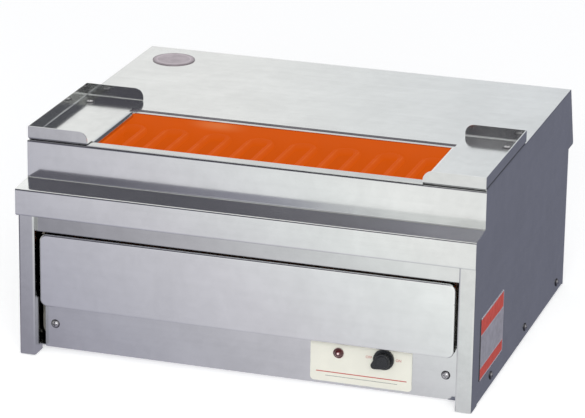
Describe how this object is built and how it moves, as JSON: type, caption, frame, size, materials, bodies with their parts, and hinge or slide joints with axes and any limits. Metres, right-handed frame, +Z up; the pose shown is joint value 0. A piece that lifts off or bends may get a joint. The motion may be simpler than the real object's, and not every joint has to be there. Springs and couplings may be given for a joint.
{
  "type": "electric skewer grill",
  "caption": "Stainless countertop grill with a long heated opening between two side trays, a stepped front, a leaning rear hood, a drip drawer, a lamp and a rotary knob.",
  "frame": {"origin": "middle of the footprint, on the counter", "axes": "+Z up, the front with the drawer faces -Y, +X to the right seen from the front"},
  "size_m": [0.5032, 0.4376, 0.2465],
  "materials": {
    "stainless": "satin rolled stainless sheet, half mirror",
    "liner_steel": "heat-tinted stainless sheet",
    "fibre_board": "matt fibre board",
    "heater_sheath": "sheathed heater, glowing when on",
    "ceramic": "white glazed ceramic",
    "bright_steel": "bright plated steel",
    "rubber_black": "matt black rubber",
    "lamp_red": "dark red lens",
    "switch_plastic": "black moulded plastic",
    "knob_black": "black moulded knob",
    "block_plastic": "pale moulded terminal block",
    "lead_sleeve": "glass-fibre sleeve",
    "plate_enamel": "cream painted plate",
    "label_orange": "orange printed label, left bare",
    "badge_grey": "grey printed disc, left bare"
  },
  "bodies": {
    "housing": {"side_panel_right": "stainless", "side_panel_left": "stainless", "front_panel": "stainless", "top_plate": "stainless", "rear_panel": "stainless", "base_plate": "stainless", "drawer_rail": "stainless", "control_apron": "stainless", "control_plate": "plate_enamel", "burner_frame": "stainless", "well_liner": "liner_steel", "insulation_boards": "fibre_board", "heater_tube": "heater_sheath", "heater_bushes": "ceramic", "heater_studs": "bright_steel", "heater_bars": "liner_steel", "tray_right": "stainless", "tray_left": "stainless", "tray_screws": "bright_steel", "tray_nuts": "bright_steel", "side_screws": "bright_steel", "apron_screws": "bright_steel", "rear_screws": "bright_steel", "feet": "rubber_black", "foot_screws": "bright_steel", "drawer_guide_right": "stainless", "drawer_guide_left": "stainless", "lamp_lens": "lamp_red", "lamp_body": "switch_plastic", "switch_body": "switch_plastic", "switch_nut": "bright_steel", "terminal_block": "block_plastic", "block_screws": "bright_steel", "cord_bush": "rubber_black", "leads": "lead_sleeve", "side_label": "label_orange", "badge": "badge_grey"},
    "drawer": {"drawer_front": "stainless", "drip_pan": "stainless"},
    "knob": {"knob": "knob_black", "knob_shaft": "bright_steel"}
  },
  "joints": [
    {"name": "drawer_slide", "type": "slide", "parent": "housing", "child": "drawer", "axis": [0, -1, 0], "range_m": [0, 0.25]},
    {"name": "knob_turn", "type": "hinge", "parent": "housing", "child": "knob", "pos_m": [0.1499, -0.19975, 0.0406], "axis": [0, 1, 0], "range_deg": [0, 90]}
  ]
}
